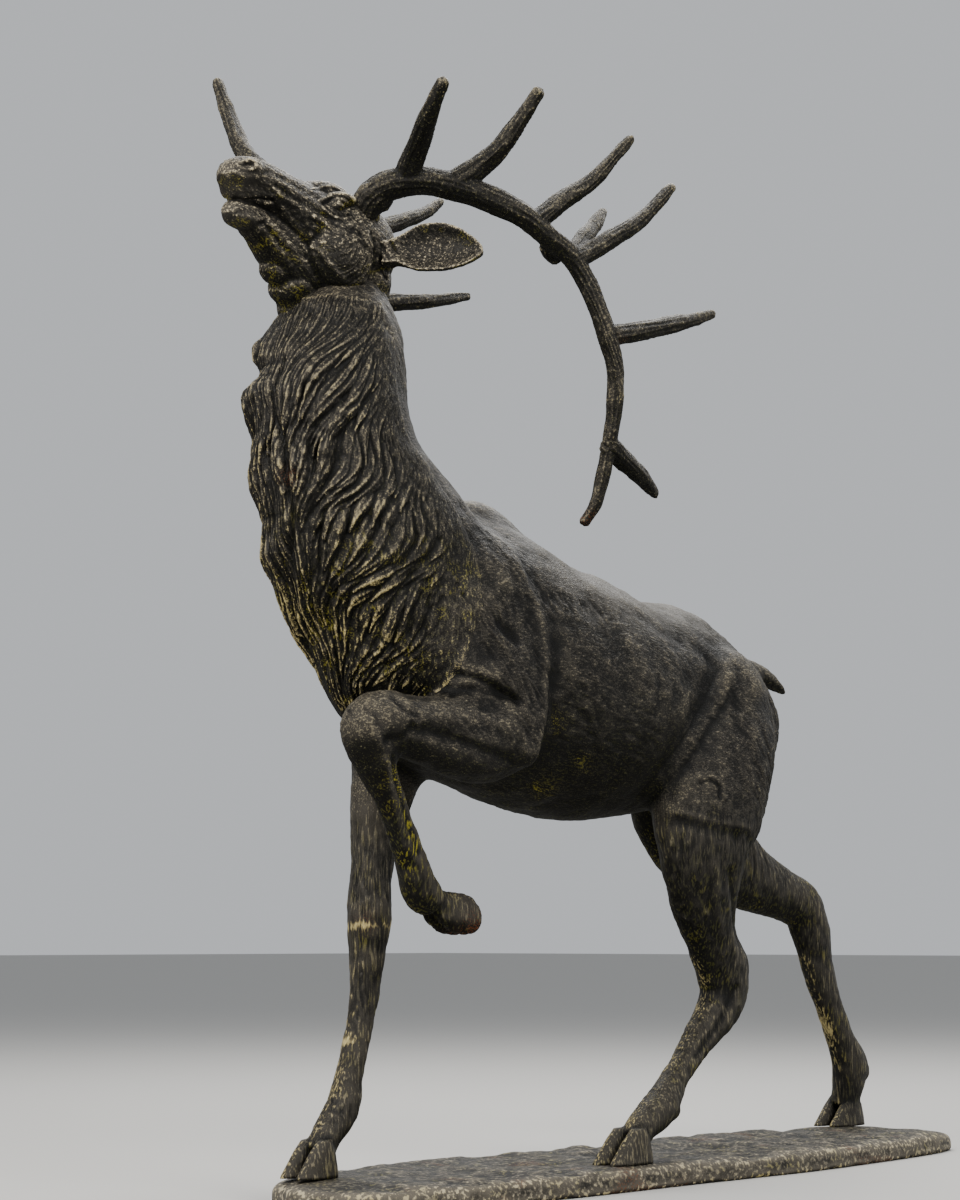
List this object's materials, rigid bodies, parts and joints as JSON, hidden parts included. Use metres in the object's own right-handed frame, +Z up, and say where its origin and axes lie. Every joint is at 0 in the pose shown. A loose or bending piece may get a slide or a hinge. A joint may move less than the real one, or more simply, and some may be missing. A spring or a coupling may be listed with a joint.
{
  "type": "stag statue",
  "caption": "Life-size striding stag in dark cast iron, head thrown up, one foreleg raised, tined antlers, shaggy mane, on a low ground-work base",
  "frame": {"origin": "middle of the flat underside of the ground-work base, where it stands on the ground", "axes": "+Z up; the stag strides and faces along -X, its tail towards +X; its left side, with the raised foreleg, is -Y"},
  "size_m": [2.1376, 0.8434, 2.1517],
  "materials": {
    "stag_iron": "weathered near-black cast iron, semi-matte, pale ochre on the raised hair and hooves and yellow-green tint in the hollows",
    "base_iron": "rough weathered grey iron with ochre flecks"
  },
  "bodies": {
    "root": {"stag": "stag_iron", "ground_base": "base_iron"}
  },
  "joints": []
}
